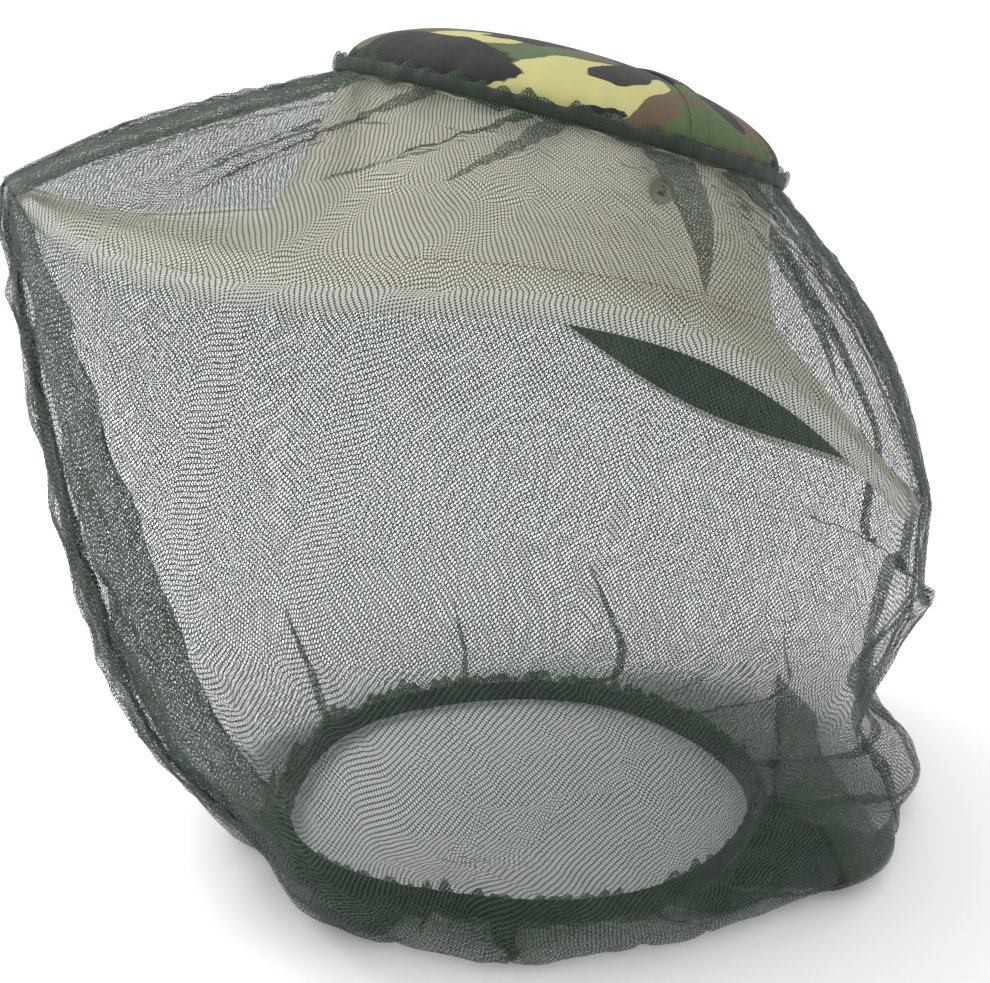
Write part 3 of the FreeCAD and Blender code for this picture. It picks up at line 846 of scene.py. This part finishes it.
def stitch_row(name, line, facing, length, space, radius, material, body):
    """Running stitches along a line of closely spaced points."""
    steps = np.linalg.norm(np.diff(line, axis=0), axis=1)
    at = np.concatenate([[0], np.cumsum(steps)])
    points, faces = [], []
    for start in np.arange(space / 2, at[-1] - length, length + space):
        middle = []
        for part, lift in ((0.0, -0.4), (0.2, 0.7), (0.5, 1.0), (0.8, 0.7), (1.0, -0.4)):
            here = start + part * length
            spot = np.array([np.interp(here, at, line[:, k]) for k in range(3)])
            out = np.array([np.interp(here, at, facing[:, k]) for k in range(3)])
            middle.append((spot + out * radius * lift, out))
        along = middle[-1][0] - middle[0][0]
        along /= np.linalg.norm(along)
        first = len(points)
        for (spot, out), size in zip(middle, (0.35, 0.9, 1.0, 0.9, 0.35)):
            side = np.cross(along, out)
            for k in range(6):
                turn = math.pi / 3 * k
                points.append(spot + radius * size * (math.cos(turn) * side + math.sin(turn) * out))
        for ring in range(4):
            for k in range(6):
                a, b = first + ring * 6 + k, first + ring * 6 + (k + 1) % 6
                faces.append((a, b, b + 6, a + 6))
        faces.append(tuple(first + k for k in reversed(range(6))))
        faces.append(tuple(first + 24 + k for k in range(6)))
    piece = paint(mesh_piece(name, points, faces), material)
    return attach(piece, body)


# Rows of stitches round the hat: the curve that they follow, their share along it, how far off it
# they lie and which way they face, then a stitch's length, the space to the next, its radius, its thread.
WELT_INSIDE = 1 - 0.0085 / 0.093     # just inside the welt, as a share of the brim's width
HAT_STITCHES = (
    ("welt_stitching", brim_curve, WELT_INSIDE, -0.0003, 0.01, 0.0026, 0.0011, 0.00028, cream_thread),
    ("welt_stitching_below", brim_curve, WELT_INSIDE, -0.0065, -0.02, 0.0026, 0.0011, 0.00028, green_thread),
    ("brim_stitching_1", brim_curve, 0.22, -0.0003, 0.01, 0.0028, 0.0014, 0.00022, cream_thread),
    ("brim_stitching_2", brim_curve, 0.44, -0.0003, 0.01, 0.0028, 0.0014, 0.00022, cream_thread),
    ("brim_stitching_3", brim_curve, 0.66, -0.0003, 0.01, 0.0028, 0.0014, 0.00022, cream_thread),
    ("crown_foot_stitching", crown_curve, 0.035, 0.0014, 0.01, 0.0030, 0.0012, 0.00030, orange_thread),
    ("crown_band_stitching", crown_curve, 0.300, 0.0014, 0.01, 0.0026, 0.0014, 0.00024, cream_thread),
)
around = np.linspace(0, 2 * math.pi, 1441)
for name, curve, share, off, facing, length, space, radius, thread in HAT_STITCHES:
    line = curve(around, share, off)
    stitch_row(name, line, unit(curve(around, share, facing) - line), length, space, radius, thread, "hat")


def piping(name, line, radius, material, body):
    """A thin cord that closes on itself, along a line of points."""
    line = line[:-1]
    along = unit(np.roll(line, -1, 0) - np.roll(line, 1, 0))
    out = unit(np.cross(along, [0.0, 0.0, 1.0]))
    up = np.cross(out, along)
    grid = np.stack([line + radius * (math.cos(t) * out + math.sin(t) * up)
                     for t in np.linspace(2 * math.pi, 0, 10, endpoint=False)])
    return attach(paint(grid_piece(name, grid, closed_rows=True), material), body)


piping("crown_foot_piping", crown_curve(around[::3], 0.0, 0.0016), 0.0012, tan_cloth, "hat")
piping("brim_underside_piping", brim_curve(around[::3], 0.0, -0.0068, -0.026), 0.0011,
       lining_cloth, "hat")

tape_rows = np.arange(2, int(np.argmin(abs(net_where - 0.30))))
rim_points = net_grid[int(np.argmin(abs(net_where)))]
tape_column = int(np.argmin(abs(np.arctan2(rim_points[:, 1], rim_points[:, 0]) - math.radians(90))))
tape, tape_line, tape_side, tape_out = strip_on_net("net_back_tape", tape_rows, tape_column,
                                                    width=0.007, lift=0.0006, material=gathered_cloth)
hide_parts("upper_net_seam", "face_net_seam")
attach(tape, "veil")
for name, way in (("tape_stitching_left", 1), ("tape_stitching_right", -1)):
    stitch_row(name, tape_line + tape_side * way * 0.003, tape_out, 0.0024, 0.0010, 0.00020,
               green_thread, "veil")

# ---- cap ---------------------------------------------------------------------------------------
CAP_OUTSET = 0.0017                  # from the crown's cover to the cap
CAP_SEAM_BACK = 0.036                # where its two panels meet
CAP_COLUMNS = 420
CAP_PUCKER = 0.0011                  # height of the puckers beside the elastic
CAP_CREASE = 0.0005                  # height of the long creases above them


def cap_rings():
    """The cap from its gathered edge up to the middle of the dome, puckered beside the elastic."""
    a = np.linspace(0, 2 * math.pi, CAP_COLUMNS, endpoint=False)
    gathers = 0.5 + 0.5 * ripple(81, 16, a, 34, 70)
    creases = ripple(82, 9, a, 5, 16)
    rings = []
    for share in np.linspace(CAP_FOOT, 0.985, 4):
        rings.append(crown_curve(a, share, CAP_OUTSET + CAP_PUCKER * gathers))
    for turn in np.radians(np.concatenate([np.arange(0, 40, 3), np.arange(40, 88, 4)])):
        near = math.exp(-turn / 0.30)
        lift = CAP_PUCKER * gathers * near + CAP_CREASE * creases * math.exp(-((turn - 0.5) / 0.4) ** 2)
        rings.append(dome_curve(a, turn, CAP_OUTSET + lift))
    return np.stack(rings)


def behind_seam(points):
    """How far points lie behind the cap's seam, along the hat."""
    return points[..., 1] * math.cos(HAT_PITCH) - points[..., 2] * math.sin(HAT_PITCH) - CAP_SEAM_BACK


def cap_panel(name, rings, side):
    """One panel: the faces of the cap on its own side of the seam. side is -1 in front, 1 behind."""
    rows, columns = rings.shape[:2]
    top = rings[-1].mean(0)
    points = np.vstack([rings.reshape(-1, 3), top])
    faces = [[r * columns + c % columns for r, c in face] for face in grid_faces(rows, columns, True)]
    faces += [[(rows - 1) * columns + c, rows * columns, (rows - 1) * columns + (c + 1) % columns]
              for c in range(columns)]
    behind = behind_seam(points)
    faces = [face[::-1] for face in faces if side * behind[face].mean() > 0]
    used = sorted({corner for face in faces for corner in face})
    place = {corner: i for i, corner in enumerate(used)}
    piece = mesh_piece(name, points[used], [[place[corner] for corner in face] for face in faces])
    return paint(piece, camouflage)


def seam_line(back, lift):
    """Over the dome from one side to the other, back metres behind the seam."""
    half_width, half_length = SHOULDER_HALF[1] + lift, SHOULDER_HALF[0] + lift
    y = CAP_SEAM_BACK + back
    reach = math.sqrt(1 - ((y - CROWN_LEAN) / half_length) ** 2)
    turn = np.linspace(0.02, math.pi - 0.02, 181)
    x = half_width * reach * np.cos(turn)
    return lean(x, y + 0 * x, SHOULDER_HEIGHT + (DOME_RISE + lift) * reach * np.sin(turn))


cap_cloth = cap_rings()
for name, side in (("cap_front", -1), ("cap_rear", 1)):
    panel = cap_panel(f"{name}_cloth", cap_cloth, side)
    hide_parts(f"{name}_panel")
    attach(panel, "veil")

SEAM_SECTION = ((-0.0060, 0.0), (-0.0056, 0.0009), (-0.0035, 0.0008), (0.0, 0.0012), (0.0035, 0.0008),
                (0.0056, 0.0009), (0.0060, 0.0))
seam_lines = [seam_line(back, 0.0022 + lift) for back, lift in SEAM_SECTION]
seam_strip = grid_piece("cap_seam_cloth", np.stack(seam_lines), closed=False)
paint(seam_strip, camouflage)
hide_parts("cap_seam")
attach(seam_strip, "veil")
for name, back in (("cap_seam_stitching_front", -0.0038), ("cap_seam_stitching_rear", 0.0038)):
    line = seam_line(back, 0.0031)
    stitch_row(name, line, unit(seam_line(back, 0.0131) - line), 0.0024, 0.0010, 0.00022,
               green_thread, "veil")

# ---- stage -------------------------------------------------------------------------------------
floor_corners = [(x, y, floor_level - 0.0006) for x, y in ((-9, -9), (9, -9), (9, 9), (-9, 9))]
floor = mesh_piece("floor", floor_corners, [(0, 1, 2, 3)])
floor_finish = Finish("pale_floor", Roughness=0.9)
floor_tone = floor_finish.blend(floor_finish.noise(3, 3), (0.93, 0.93, 0.935), (0.95, 0.95, 0.95))
paint(floor, floor_finish.wear(Base_Color=floor_tone))

world = bpy.data.worlds.new("studio")
bpy.context.scene.world = world
world.use_nodes = True
backdrop = world.node_tree.nodes["Background"].inputs
backdrop["Color"].default_value = (1.0, 1.0, 1.0, 1)
backdrop["Strength"].default_value = 1.08
bpy.context.scene.view_settings.view_transform = "Standard"


def softbox(name, place, aim, size, power):
    data = bpy.data.lights.new(name, "AREA")
    data.shape = "RECTANGLE"
    data.size, data.size_y = size
    data.energy = power
    light = bpy.data.objects.new(name, data)
    bpy.context.scene.collection.objects.link(light)
    light.location = place
    light.rotation_euler = (Vector(aim) - Vector(place)).to_track_quat("-Z", "Y").to_euler()
    return light


softbox("key", (-0.5, -1.0, 1.5), (0, 0, -0.1), (1.0, 1.0), 22)
softbox("fill", (1.6, -0.6, 0.9), (0, 0, -0.1), (1.2, 1.2), 10)

# ---- camera ------------------------------------------------------------------------------------
AZIMUTH, ELEVATION = math.radians(72), math.radians(16.5)  # from straight in front, to the wearer's left
AIM = (0, -0.0075, -0.091)
DISTANCE = 0.743
LENS = 52.72727273
camera_data = bpy.data.cameras.new("camera")
camera_data.sensor_width = 36
camera_data.lens = LENS
camera = bpy.data.objects.new("camera", camera_data)
bpy.context.scene.collection.objects.link(camera)
level = math.cos(ELEVATION)
back = Vector((math.sin(AZIMUTH) * level, -math.cos(AZIMUTH) * level, math.sin(ELEVATION)))
camera.location = Vector(AIM) + back * DISTANCE
camera.rotation_euler = back.to_track_quat("Z", "Y").to_euler()
bpy.context.scene.camera = camera
